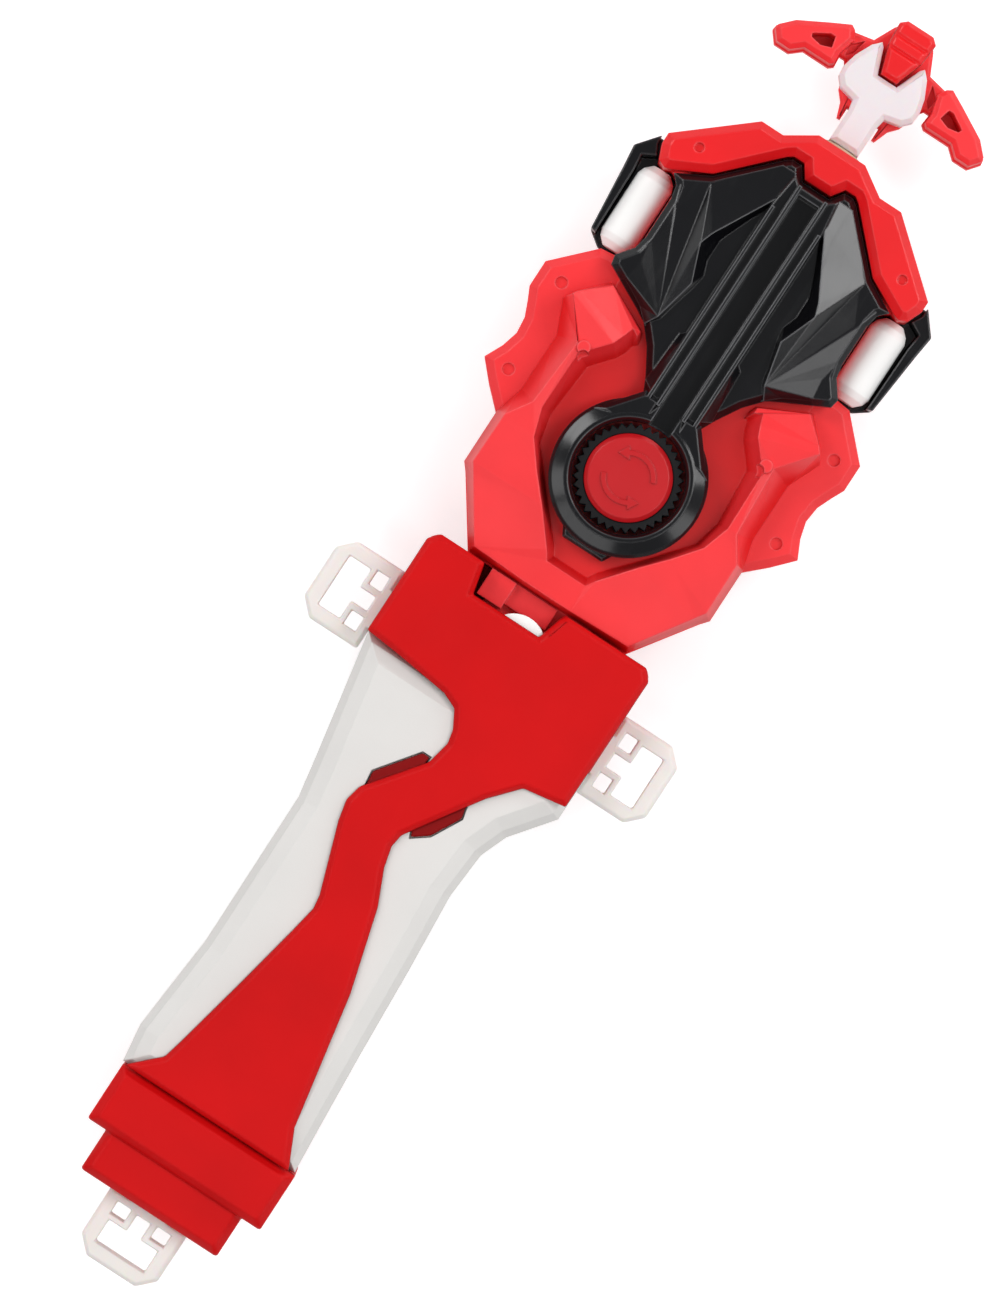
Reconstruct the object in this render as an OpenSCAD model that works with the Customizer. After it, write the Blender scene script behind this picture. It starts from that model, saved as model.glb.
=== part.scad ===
// Spinning top launcher: a string-driven launcher head on a long two-colour grip.
// Millimetres. Z is up through the launcher's top face, Y runs to the string handle.
// The origin is on the spin axis, in the plane of the body's underside.

/* [Gear train] */
// Gear module
gear_mod = 0.8; // [0.6:0.05:1.1]
// Teeth on the string spool
spool_teeth = 44; // [36:2:56]
// Teeth on the idler
idler_teeth = 14; // [12:2:20]
// Teeth on the spin hub
hub_teeth = 18; // [14:2:24]
// Pressure angle in degrees
press_angle = 25; // [20:1:28]
// Thickness of the gears
gear_t = 3; // [2:0.1:4]
// Gap between the teeth's flanks
backlash = 0.16; // [0.08:0.02:0.3]

/* [Launcher body] */
// Distance from the spool's axis to the nose
nose_reach = 33.5; // [30:0.5:45]
// Room between the spool and the deck over it
head_room = 0.6; // [0.4:0.1:3]
// Thickness of the floor
floor_t = 1.8; // [1.4:0.1:2.4]
// Thickness of the walls
wall = 1.6; // [1.2:0.1:2.2]
// Width of the bevel along the edges
bevel = 1.5; // [0.8:0.1:2]
// Thickness of the deck over the gears
deck_t = 1.8; // [1.4:0.1:2.4]
// Height of the raised shell's crest
crest_z = 22; // [20:0.5:26]
// Radius of the body screws
screw_r = 1.1; // [0.9:0.1:1.5]

/* [Face plate] */
// Height of the plate's side fields
face_t = 3.4; // [2.4:0.1:4.5]
// Height of the raised middle above the side fields
spine_t = 3.2; // [2:0.1:4]
// Width of the groove along the middle
groove_w = 4.2; // [3:0.1:6]
// Outer radius of the ring round the dial
ring_r = 14.2; // [13.4:0.1:16]

/* [Dial] */
// Radius of the serrated wheel
dial_r = 9.9; // [8.5:0.1:10.4]
// Radius of the disc on the wheel
cap_r = 7.9; // [6:0.1:8.4]
// Height of the wheel
dial_t = 4; // [3:0.1:5]
// Number of serrations
serrations = 36; // [24:2:48]
// Angle between left spin and right spin
dial_turn = 50; // [30:5:60]

/* [Spool] */
// Radius of the string
string_r = 0.6; // [0.4:0.05:0.8]
// Radius of the drum that the string winds on
drum_r = 11; // [9.5:0.1:12]
// Height of the winding
drum_h = 4.8; // [4:0.1:6]
// Thickness of the flange over the winding
flange_t = 1; // [0.8:0.1:1.4]
// Radius of the spool's post
post_r = 2; // [1.5:0.1:3]

/* [Spin hub] */
// Radius of the hub's neck in its bush
neck_r = 6; // [5:0.1:7]
// Radius of the disc with the prongs
disc_r = 11.5; // [10:0.1:14]
// Thickness of that disc
disc_t = 2.4; // [1.8:0.1:3]
// Length of a prong
prong_h = 7; // [5:0.2:10]
// Number of prongs
prongs = 3; // [2:1:4]
// Radius of the pin in the middle
pin_r = 2; // [1.4:0.1:2.6]
// Travel of the pin
pin_travel = 3; // [1.5:0.1:4]

/* [Handle] */
// Thickness of the clear fork
fork_t = 4.2; // [3:0.1:6]
// Thickness of the red wing plate
wing_t = 2.8; // [2:0.1:4]
// Height of the wings' raised tips
tip_t = 7.2; // [5:0.1:9]
// Travel of the handle on its string
pull = 450; // [300:10:600]

/* [Grip] */
// Half the width of the grip's head
grip_half = 24; // [20:0.5:28]
// Length of the grip
grip_len = 129.3; // [110:1:150]
// Thickness of the two grip shells together
grip_t = 19; // [18:0.5:26]
// Thickness of the red covers
cover_t = 1.5; // [1:0.1:2.2]
// Width of the rounding along the shells' edges
grip_round = 4; // [2:0.1:5]
// Travel of the lock button
lock_travel = 2.4; // [1.8:0.1:3]

/* [Strap loops] */
// Half the length of a loop along the grip
loop_half = 8.1; // [7:0.1:10]
// Reach of a loop beyond the grip
loop_out = 13; // [10:0.1:16]
// Thickness of a loop
loop_t = 4; // [3:0.1:6]
// Width of a loop's bar
loop_bar = 2.9; // [2:0.1:4]

/* [Hidden] */
$fn = 64;

red = [0.94, 0.24, 0.26];
deep_red = [0.84, 0.1, 0.11];
black = [0.13, 0.13, 0.15];
white = [0.93, 0.92, 0.9];
clear = [0.94, 0.88, 0.9, 0.6];
steel = [0.72, 0.72, 0.74];
tan_colour = [0.85, 0.75, 0.6];

// place of the lock button on the grip
button_shares = [-0.035, 0.073];

// clearances
over = 0.5;
fit = 0.02;
run = 0.05;
gap = 0.3;

// gear train
spool_y = (spool_teeth / 2 + idler_teeth + hub_teeth / 2) * gear_mod;
idler_y = (idler_teeth + hub_teeth) * gear_mod / 2;
tip_add = 0.8 * gear_mod;
root_cut = gear_mod;
gear_z = floor_t + 0.5 * wall;
gear_top = gear_z + gear_t;
spool_tip = spool_teeth * gear_mod / 2 + tip_add;

// body outline
neck_share = 0.625;
rear_share = 0.38;
room_front_share = 0.945;
body_half = (spool_tip + 2 * 2 * gap + wall - 0.1 * gear_mod) / neck_share;
body_front = spool_y + nose_reach;
body_rear = rear_share * body_front;
line_z = gear_top + drum_h / 2 - string_r / 3;
spool_top = gear_top + drum_h + flange_t;
base_h = spool_top + head_room;
deck_z = base_h + deck_t;

// heights on the launcher's face
face_top = deck_z + face_t;
ring_top = face_top + spine_t + gap;
ring_in = dial_r + gap;
dial_z = deck_z + 2 * gap;
cap_z = dial_z + 0.7 * dial_t;
spigot_r = 0.34 * dial_r;

// spool
string_layers = ceil(pull / (2 * PI * drum_r * floor(drum_h / (2 * string_r))));
wind_r = drum_r + string_layers * 2.5 * string_r;
flange_r = wind_r + 3 * string_r;
lead_r = wind_r + string_r + gap;

// hub and its pin
disc_top = -2 * gap;
disc_z = disc_top - disc_t;
prong_z = disc_z - prong_h;
chamber_r = 1.55 * pin_r;
hub_top_r = chamber_r + wall - gap / 3;
hub_top = base_h - 2 * gap;
chamber_z = gear_z + 0.4 * gear_t;

// string
eye_r = string_r + 2 * gap;
eyelet_r = eye_r + wall;
lip_t = 0.6 * wall;
eye_in = room_front_share * body_front - wall;
eye_out = body_front + lip_t;

// grip
grip_y = -body_rear;
button_x = button_shares[0] * grip_half;
button_y = grip_y - button_shares[1] * grip_len;
grip_low = (floor_t + deck_z + cover_t) / 2 - grip_t / 2 + gap;
grip_mid = grip_low + grip_t / 2;
grip_top = grip_low + grip_t;

// Body outline, right half from rear to nose
base_shares = [
  [0.5, -0.38], [0.745, -0.21], [0.78, -0.19], [0.78, -0.04], [0.9, 0.015],
  [0.995, 0.065], [0.945, 0.115], [0.92, 0.16], [0.93, 0.205], [0.965, 0.245], [1, 0.28],
  [1, 0.355], [0.79, 0.46], [0.705, 0.465], [0.625, 0.495], [0.625, 0.705], [0.7, 0.725],
  [0.775, 0.785], [0.44, 0.93], [0.15, 0.98]
];
// Room for the gears inside the body
room_shares = [
  [0.465, -0.355], [0.67, -0.195], [0.67, 0.315], [0.58, 0.43], [0.58, 0.725],
  [0.64, 0.77], [0.41, 0.895], [0.135, room_front_share]
];
// Pocket under a wing
pocket_shares = [
  [0.73, 0.02], [0.85, 0.05], [0.925, 0.07], [0.885, 0.115], [0.865, 0.16], [0.88, 0.21],
  [0.915, 0.255], [0.945, 0.29], [0.945, 0.345], [0.775, 0.425], [0.73, 0.425]
];
// Deck over the gears
deck_shares = [
  [0.465, -0.36], [0.7, -0.2], [0.7, 0.2], [0.735, 0.295], [0.615, 0.395],
  [0.615, 0.715], [0.495, 0.765], [0.22, 0.9], [0.19, 0.91], [0.135, 0.91], [0.085, 0.88]
];
// Foot of the raised shell
foot_shares = [
  [0.12, -0.375], [0.5, -0.375], [0.74, -0.21], [0.78, -0.19], [0.78, -0.035],
  [0.735, 0.045], [0.735, 0.21], [0.815, 0.3], [0.77, 0.335], [0.64, 0.4], [0.36, 0.335], [0.34, 0.315]
];
// Ridge of the raised shell, with its height between deck and crest
ridge_shares = [
  [0.13, -0.365, 0.34], [0.485, -0.36, 0.37], [0.7, -0.205, 0.58],
  [0.735, -0.18, 0.64], [0.73, -0.035, 0.76], [0.64, 0.03, 0.83], [0.615, 0.22, 0.88],
  [0.775, 0.315, 1], [0.75, 0.33, 0.97], [0.62, 0.39, 0.52], [0.37, 0.33, 0.44], [0.345, 0.31, 0]
];
// Upper edge of the bowl round the dial, with its height between deck and crest
bowl_shares = [
  [0.12, -0.29, 0.38], [0.155, -0.265, 0.46], [0.3, -0.18, 0.61],
  [0.42, -0.115, 0.66], [0.535, -0.045, 0.76], [0.585, 0.03, 0.8], [0.58, 0.195, 0.8],
  [0.455, 0.265, 0.85], [0.43, 0.295, 0.78], [0.41, 0.325, 0.66], [0.37, 0.315, 0.5], [0.345, 0.3, 0]
];
// Round stud on the bowl's edge, with its height between deck and crest
stud_share = [0.573, 0.215, 0.9];
// Lower edge of the bowl
basin_shares = [
  [0.105, -0.27], [0.135, -0.245], [0.275, -0.17], [0.39, -0.105],
  [0.495, -0.045], [0.53, 0.03], [0.505, 0.185], [0.4, 0.245], [0.375, 0.27],
  [0.365, 0.29], [0.355, 0.295], [0.34, 0.29]
];
// Pocket inside the raised flank
flank_shares = [
  [0.575, -0.135], [0.68, -0.135], [0.68, -0.05], [0.635, 0.02], [0.635, 0.13], [0.575, 0.13]
];
// Nose cowl, right half along the outside and back along the inside
cowl_out_shares = [
  [0.7, 0.722], [0.74, 0.715], [0.785, 0.725], [0.82, 0.765], [0.82, 0.795], [0.44, 0.95],
  [0.305, 0.95], [0.145, 1]
];
cowl_in_shares = [
  [0.505, 0.77], [0.225, 0.91], [0.195, 0.92], [0.13, 0.92], [0.08, 0.885]
];
// Black face plate
face_shares = [
  [0.17, 0.185], [0.185, 0.21], [0.22, 0.245], [0.3, 0.31], [0.385, 0.357],
  [0.45, 0.375], [0.695, 0.435], [0.705, 0.46], [0.635, 0.505], [0.62, 0.54], [0.62, 0.66],
  [0.635, 0.695], [0.68, 0.718], [0.5, 0.765], [0.22, 0.902], [0.19, 0.912], [0.135, 0.912],
  [0.085, 0.877]
];
// Raised middle of the face plate
spine_shares = [[0.16, 0.17], [0.16, 0.79], [0.135, 0.88], [0.085, 0.86]];
// Raised side field, with its height between deck and crest, and the foot of its walls
field_shares = [
  [0.375, 0.352, 0.38], [0.45, 0.385, 0.37], [0.66, 0.44, 0.36], [0.615, 0.5, 0.38],
  [0.59, 0.545, 0.42], [0.59, 0.655, 0.42], [0.62, 0.7, 0.37], [0.49, 0.75, 0.4],
  [0.22, 0.885, 0.42], [0.135, 0.885, 0.5], [0.13, 0.82, 0.62], [0.335, 0.635, 0.78],
  [0.36, 0.6, 0.8], [0.28, 0.5, 0.78], [0.335, 0.385, 0.6]
];
field_foot_shares = [
  [0.355, 0.345], [0.45, 0.385], [0.66, 0.44], [0.615, 0.5], [0.59, 0.545],
  [0.59, 0.655], [0.62, 0.7], [0.49, 0.75], [0.22, 0.885], [0.135, 0.885],
  [0.13, 0.78], [0.235, 0.655], [0.235, 0.56], [0.255, 0.5], [0.305, 0.39]
];
// Sloping strip beside the outer rib
strip_shares = [[0.145, 0.215, 0.62], [0.21, 0.235, 0.4], [0.195, 0.38, 0.4], [0.145, 0.4, 0.62]];
// Shoulder between the ring and the raised middle, in shares of the ring's radius
shoulder_shares = [[0.16, 0.5], [0.84, 0.5], [0.41, 1.03], [0.16, 1.03]];
// Floor of a side frame
web_shares = [
  [0.625, 0.495], [0.705, 0.465], [0.81, 0.462], [0.895, 0.492], [0.93, 0.67], [0.945, 0.73],
  [0.845, 0.79], [0.775, 0.785], [0.7, 0.725], [0.625, 0.705]
];
// Wall of a side frame
rim_shares = [
  [0.862, 0.487], [0.895, 0.492], [0.93, 0.67], [0.945, 0.73], [0.845, 0.79],
  [0.84, 0.765], [0.81, 0.738], [0.88, 0.72], [0.87, 0.675]
];
// Places of the body screws and the wings' dimples
post_shares = [[0.58, -0.115], [0.55, 0.195], [0.33, 0.785]];
dimple_shares = [[0.865, 0.33], [0.85, 0.07]];
cowl_dimple_share = [0.64, 0.805];
// Clear fork of the handle, whose neck rests just off the eyelet
rest_share = (eye_out + gap) / body_front;
fork_shares = [
  [0.09, rest_share], [0.09, 1.11], [0.1, 1.135], [0.19, 1.145], [0.235, 1.17],
  [0.24, 1.195], [0.22, 1.235], [0.175, 1.28], [0.135, 1.3], [0.115, 1.29], [0.06, 1.222]
];
// Red wings of the handle
wings_shares = [
  [0.1, 1.115], [0.1, 1.08], [0.12, 1.08], [0.15, 1.12], [0.195, 1.145],
  [0.24, 1.205], [0.255, 1.215], [0.285, 1.215], [0.28, 1.185], [0.305, 1.175],
  [0.465, 1.175], [0.525, 1.15], [0.615, 1.15], [0.665, 1.18], [0.66, 1.195], [0.59, 1.23],
  [0.42, 1.275], [0.32, 1.3], [0.285, 1.29], [0.18, 1.3], [0.125, 1.355], [0.11, 1.365]
];
// Raised tip of a wing
tip_shares = [
  [0.28, 1.185], [0.305, 1.175], [0.465, 1.175], [0.525, 1.15], [0.615, 1.15],
  [0.665, 1.18], [0.66, 1.195], [0.59, 1.23], [0.42, 1.275], [0.32, 1.3], [0.285, 1.29],
  [0.255, 1.265], [0.285, 1.215]
];
// Recesses in a wing
windows_shares = [
  [[0.345, 1.215], [0.405, 1.205], [0.465, 1.21], [0.475, 1.22], [0.39, 1.245], [0.36, 1.245]],
  [[0.265, 1.225], [0.275, 1.255], [0.215, 1.285], [0.235, 1.24]]
];
// Red wedge between the fork's arms
wedge_shares = [[0.05, 1.228], [0.105, 1.305], [0.115, 1.365], [0.08, 1.38]];

// Grip's head, as shares of the grip's half width and length
head_shares = [
  [0.95, 0.165], [0.95, 0.024], [0.93, 0.009], [0.895, 0.002], [0.84, 0],
  [-0.89, 0], [-0.945, 0.002], [-0.98, 0.009], [-1, 0.024], [-1, 0.165]
];
// Notch in the head
notch_shares = [
  [0.09, 0.045], [0.105, 0.035], [0.145, 0.01], [0.19, -0.01], [-0.56, -0.01], [-0.49, 0.045]
];
// White side panels
panel_shares = [
  [0.95, 0.165], [-0.995, 0.165], [-0.89, 0.27], [-0.81, 0.35], [-0.755, 0.41],
  [-0.75, 0.645], [-0.785, 0.72], [-0.815, 0.79], [-0.775, 0.845], [0.745, 0.845],
  [0.715, 0.77], [0.675, 0.66], [0.635, 0.525], [0.59, 0.41], [0.615, 0.34], [0.7, 0.3],
  [0.95, 0.24]
];
// Red cover of the grip
cover_shares = [
  [0.95, 0.015], [0.88, 0], [0.18, 0], [0.145, 0.01], [0.105, 0.035], [0.09, 0.045],
  [-0.49, 0.045], [-0.545, 0], [-0.93, 0], [-1, 0.015], [-1, 0.165], [-0.71, 0.17],
  [-0.27, 0.18], [-0.145, 0.19], [-0.07, 0.215], [-0.045, 0.235], [-0.085, 0.27],
  [-0.415, 0.35], [-0.445, 0.375], [-0.41, 0.405], [-0.225, 0.505], [-0.21, 0.525],
  [-0.25, 0.565], [-0.355, 0.66], [-0.49, 0.775], [-0.53, 0.805],
  [-0.75, 0.845], [0.7, 0.845], [0.56, 0.79], [0.365, 0.595], [0.185, 0.475],
  [0.065, 0.425], [0.025, 0.395], [0.04, 0.375], [0.325, 0.295], [0.415, 0.27],
  [0.605, 0.23], [0.94, 0.22]
];
// Sunk lugs beside the cover, in slots of the white shell
lugs_shares = [
  [[-0.12, 0.3], [-0.1, 0.265], [-0.16, 0.265], [-0.395, 0.323], [-0.37, 0.36]],
  [[0.105, 0.37], [0.22, 0.354], [0.345, 0.311], [0.31, 0.285], [0.06, 0.35]]
];
// Tail block and its foot: half widths, then where each begins
tail_half_share = 0.76;
foot_half_share = 0.6;
tail_share = 0.845;
foot_share = 0.935;
// Places of the grip's screws
bolt_shares = [[0.7, 0.21], [-0.72, 0.21], [0.4, 0.44], [-0.52, 0.44], [0.48, 0.785], [-0.54, 0.785]];
// Place of the side loops
side_loop_share = 0.133;

function body(t) = [for (p = t) [p[0] * body_half, p[1] * body_front]];
function raised(t) = [
  for (p = t) [p[0] * body_half, p[1] * body_front, deck_z + p[2] * (crest_z - deck_z)]
];
function grip(t) = [for (p = t) [p[0] * grip_half, grip_y - p[1] * grip_len]];
function turned(v) = [for (i = [len(v) - 1 : -1 : 0]) v[i]];
function mirrored(v) = [
  for (p = turned(v)) if (p[0] > 0) [for (i = [0 : len(p) - 1]) i == 0 ? -p[0] : p[i]]
];
function both(v) = concat(v, mirrored(v));
function at_z(v, z) = [for (p = v) [p[0], p[1], z]];
function unit(v) = v / norm(v);
// Moves every side of a counterclockwise outline inwards by d
function inset(v, d) = [
  for (i = [0 : len(v) - 1])
    let (
      p = v[i],
      a = unit(p - v[(i + len(v) - 1) % len(v)]),
      b = unit(v[(i + 1) % len(v)] - p),
      n = [-a[1] - b[1], a[0] + b[0]]
    ) p + d * n / (1 + a * b)
];

// Cuts a flat outline, also one with hollows, into triangles of its point numbers
function side_of(a, b, c) = (b[0] - a[0]) * (c[1] - a[1]) - (b[1] - a[1]) * (c[0] - a[0]);
function within(p, a, b, c) = side_of(a, b, p) >= 0 && side_of(b, c, p) >= 0 && side_of(c, a, p) >= 0;
function corner(left, i) = let (n = len(left)) [left[(i + n - 1) % n], left[i], left[(i + 1) % n]];
function is_ear(v, left, i) =
  let (t = corner(left, i), a = v[t[0]], b = v[t[1]], c = v[t[2]])
    side_of(a, b, c) > 0
    && len([for (k = left) if (k != t[0] && k != t[1] && k != t[2] && within(v[k], a, b, c)) k]) == 0;
function first_ear(v, left, i = 0) =
  i >= len(left) ? 0 : is_ear(v, left, i) ? i : first_ear(v, left, i + 1);
function triangles(v, left) =
  len(left) == 3 ? [left]
  : let (i = first_ear(v, left))
    concat([corner(left, i)], triangles(v, [for (k = [0 : len(left) - 1]) if (k != i) left[k]]));

// Solid through a stack of outlines, each with the same number of points
module loft(rings) {
  n = len(rings[0]);
  last = (len(rings) - 1) * n;
  sides = [
    for (k = [0 : len(rings) - 2], i = [0 : n - 1])
      let (j = (i + 1) % n, a = k * n + i, b = k * n + j) [a, a + n, b + n, b]
  ];
  every = [for (i = [0 : n - 1]) i];
  caps = concat(
    triangles(rings[0], every),
    [for (t = triangles(rings[len(rings) - 1], every)) [last + t[2], last + t[1], last + t[0]]]
  );
  polyhedron([for (r = rings) for (p = r) p], concat(sides, caps));
}

// The same between two outlines whose points lie at any height
module facets(low, high) {
  n = len(low);
  every = [for (i = [0 : n - 1]) i];
  walls = [
    for (i = [0 : n - 1]) let (j = (i + 1) % n)
      for (face = [[i, i + n, j + n], [i, j + n, j]]) face
  ];
  lids = [for (t = triangles(high, every)) [t[2] + n, t[1] + n, t[0] + n]];
  polyhedron(concat(low, high), concat(triangles(low, every), walls, lids));
}

// Closed band through outlines that lead back to the first
module band(rings) {
  n = len(rings[0]);
  sides = [
    for (k = [0 : len(rings) - 1], i = [0 : n - 1])
      let (m = ((k + 1) % len(rings)) * n, j = (i + 1) % n)
        for (face = [[k * n + i, m + i, m + j], [k * n + i, m + j, k * n + j]]) face
  ];
  polyhedron([for (r = rings) for (p = r) p], sides);
}

// Plate with a bevel along its upper edge and, if wanted, its lower edge
function levels(v, low, high, cut, under) =
  let (lower = under > 0 ? [at_z(inset(v, under), low), at_z(v, low + under)] : [at_z(v, low)])
    concat(lower, [at_z(v, high - cut), at_z(inset(v, cut), high)]);
module plate(v, low, high, cut, under = 0) loft(levels(v, low, high, cut, under));
// The same, alike on both sides of the middle, from the outline's right half
module twin_plate(v, low, high, cut, under = 0) {
  last = len(v) - 1;
  sides() loft([
    for (r = levels(both(v), low, high, cut, under))
      concat([[0, r[0][1], r[0][2]]], [for (i = [0 : last]) r[i]], [[0, r[last][1], r[0][2]]])
  ]);
}

module prism(v, low, high) translate([0, 0, low]) linear_extrude(high - low) polygon(v);
module disc(r, low, high) translate([0, 0, low]) cylinder(h = high - low, r = r);
module cone(r1, r2, low, high) translate([0, 0, low]) cylinder(h = high - low, r1 = r1, r2 = r2);
module along_y(r, from, to, z) translate([0, from, z]) rotate([-90, 0, 0]) cylinder(h = to - from, r = r);
module block(x, y, z) translate([x[0], y[0], z[0]]) cube([x[1] - x[0], y[1] - y[0], z[1] - z[0]]);
module left() mirror([1, 0, 0]) children();
module sides() {
  children();
  left() children();
}
module arc_bar(inner, outer, low, high, from, sweep)
  rotate([0, 0, from]) rotate_extrude(angle = sweep)
    translate([inner, low]) square([outer - inner, high - low]);

// Tube wound on a helix
module coil(r, wire, low, high, turns) {
  steps = 16;
  ring = 6;
  count = turns * steps;
  rings = [
    for (i = [0 : count])
      let (t = 360 * i / steps, z = low + wire + (high - low - 2 * wire) * i / count)
        [
          for (k = [0 : ring - 1])
            let (u = 360 * k / ring, s = r + wire * cos(u)) [s * cos(t), s * sin(t), z + wire * sin(u)]
        ]
  ];
  n = ring;
  faces = [
    for (k = [0 : count - 1], i = [0 : n - 1])
      let (j = (i + 1) % n, a = k * n + i, b = k * n + j)
        for (face = [[a, b + n, a + n], [a, b, b + n]]) face
  ];
  caps = [[for (i = [n - 1 : -1 : 0]) i], [for (i = [0 : n - 1]) count * n + i]];
  polyhedron([for (q = rings) for (p = q) p], concat(faces, caps));
}

// Involute gear, with one tooth along +X
function inv(a) = tan(a) * 180 / PI - a;
function half_angle(n, r, base_r) =
  90 / n + inv(press_angle) - inv(acos(min(1, base_r / r))) - backlash / (2 * n * gear_mod) * 180 / PI;
function tooth(n) =
  let (
    pitch = n * gear_mod / 2,
    base_r = pitch * cos(press_angle),
    root = pitch - root_cut,
    low = max(base_r, root),
    high = pitch + tip_add,
    radii = [for (i = [0 : 4]) low + (high - low) * i / 4]
  ) concat(
    [[root, -half_angle(n, low, base_r)]],
    [for (r = radii) [r, -half_angle(n, r, base_r)]],
    [for (r = turned(radii)) [r, half_angle(n, r, base_r)]],
    [[root, half_angle(n, low, base_r)]]
  );
function gear_points(n) = [
  for (k = [0 : n - 1], p = tooth(n)) let (a = p[1] + 360 * k / n) p[0] * [cos(a), sin(a)]
];
module gear(n, turn) translate([0, 0, gear_z]) linear_extrude(gear_t) rotate(turn) polygon(gear_points(n));

// Screw: head below, shank above
head_r = 2 * screw_r;
head_t = 1.3 * screw_r;
module screw(head_z, tip_z) {
  difference() {
    disc(head_r, head_z, head_z + head_t);
    for (a = [0, 90]) rotate(a)
      block([-head_r / 5, head_r / 5], [-head_r / 1.5, head_r / 1.5], [head_z - over, head_z + head_t / 2]);
  }
  disc(screw_r, head_z + head_t, tip_z);
}
module at_posts() for (p = body(post_shares), s = [-1, 1]) translate([s * p[0], p[1], 0]) children();

// Lower housing: scalloped wings, gear room, tongue for the grip
seat_z = floor_t + gap / 3;
boss_top = floor_t + 2 * head_t;
tongue_len = 7.5;
tongue_half = 9.8;
tongue_low = grip_low + 0.3 * grip_t;
tongue_top = grip_low + 0.6 * grip_t;
tab_top = grip_low + 0.78 * grip_t;
catch_in = 4.2;
catch_w = 6.4;
bush_r = neck_r + 1.2 * wall;
module tongue() {
  z = [tongue_low, tongue_top];
  block([-tongue_half, tongue_half], [grip_y - tongue_len, grip_y + wall], z);
  ear = [-tongue_half - wall, -tongue_half + 2.2 * wall];
  block(ear, [grip_y - 0.7 * tongue_len, grip_y], [tongue_low, tab_top]);
  block([-4 * wall, 1.5 * wall], [grip_y - catch_in, grip_y], [tongue_low, tab_top - wall]);
}
module base_shell() color(red) difference() {
  union() {
    difference() {
      twin_plate(body(base_shares), 0, base_h, bevel, bevel / 2);
      prism(both(body(room_shares)), floor_t, base_h + over);
    }
    at_posts() disc(2.7 * screw_r, floor_t / 2, boss_top);
    translate([0, spool_y]) disc(2 * post_r, floor_t / 2, gear_z - gap);
    translate([0, idler_y]) disc(2 * idler_r, floor_t / 2, gear_z - gap);
    tongue();
  }
  sides() prism(body(pocket_shares), -over, base_h - wall);
  for (p = body(dimple_shares), s = [-1, 1])
    translate([s * p[0], p[1]]) disc(screw_r, base_h - wall / 2, base_h + over);
  disc(bush_r + fit, -over, base_h);
  translate([0, spool_y]) disc(post_r + fit, floor_t / 4, base_h);
  translate([0, idler_y]) disc(idler_r + fit, floor_t / 4, base_h);
  at_posts() {
    disc(head_r + gap, -over, seat_z);
    disc(screw_r + fit, 0, base_h);
  }
  along_y(eyelet_r + fit, eye_in - wall, body_front + over, line_z);
  catch_y = [grip_y - tongue_len + wall / 2, grip_y - catch_in];
  catch_x = [button_x - catch_w / 2, button_x + catch_w / 2];
  block(catch_x, catch_y, [tongue_low - over, tongue_low + lock_travel]);
}

// Raised shell: faceted bowl round the dial on a flat deck, with the screw posts
module top_shell() color(red) difference() {
  union() {
    band([
      at_z(both(body(foot_shares)), base_h),
      both(raised(ridge_shares)),
      both(raised(bowl_shares)),
      at_z(both(body(basin_shares)), deck_z),
      at_z(both(body(basin_shares)), base_h)
    ]);
    prism(both(body(deck_shares)), base_h, deck_z);
    at_posts() disc(2.5 * screw_r, boss_top, base_h + deck_t / 2);
    disc(hub_top_r + wall, gear_top + 4 * gap, base_h + deck_t / 2);
    disc(spigot_r, deck_z, cap_z - 2 * gap);
    for (p = raised([stud_share]), s = [-1, 1])
      translate([s * p[0], p[1]]) disc(1.1 * screw_r, deck_z, p[2]);
  }
  sides() prism(body(flank_shares), base_h - over, base_h + 0.5 * (crest_z - base_h));
  disc(hub_top_r + run, gear_top, base_h);
  for (a = [0, 180])
    arc_bar(
      cam_leg_in - gap, cam_leg_out + gap, base_h - over, deck_z + over,
      a - cam_leg - cam_play, dial_turn + cam_leg + 2 * cam_play
    );
  translate([0, spool_y]) disc(post_r + fit, base_h - over, base_h + deck_t / 2);
  translate([0, idler_y]) disc(idler_r + fit, base_h - over, base_h + deck_t / 2);
  at_posts() disc(screw_r + fit, floor_t, base_h - wall / 2);
  for (p = body([post_shares[1]]), s = [-1, 1])
    translate([s * p[0], p[1]]) disc(screw_r, crest_z - 2.4 * wall, crest_z);
}

// Nose cowl: a bevelled band over the body's front, open for the string's eyelet
web_z = 0.3 * base_h;
cowl_low = web_z + wall + gap;
cowl_top = deck_z + 1.2 * face_t;
module front_cowl() color(deep_red) difference() {
  bow = both_open(body(cowl_out_shares), body(cowl_in_shares));
  union() {
    plate(bow, base_h, cowl_top, bevel);
    difference() {
      plate(bow, cowl_low, base_h + bevel / 4, bevel / 4, bevel / 2);
      prism(inset(both(body(base_shares)), -fit), 0, base_h);
    }
  }
  along_y(eyelet_r + fit, eye_in - wall, body_front + over, line_z);
  prism(both(body(deck_shares)), base_h - over, deck_z);
  for (p = body([cowl_dimple_share]), s = [-1, 1])
    translate([s * p[0], p[1]]) disc(0.8 * screw_r, cowl_top - wall / 2, cowl_top + over);
}
// Outline of a bow: along the outside on both sides, then back along the inside
function both_open(outer, inner) =
  concat(outer, mirrored(outer), [for (p = inner) if (p[0] > 0) [-p[0], p[1]]], turned(inner));

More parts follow.
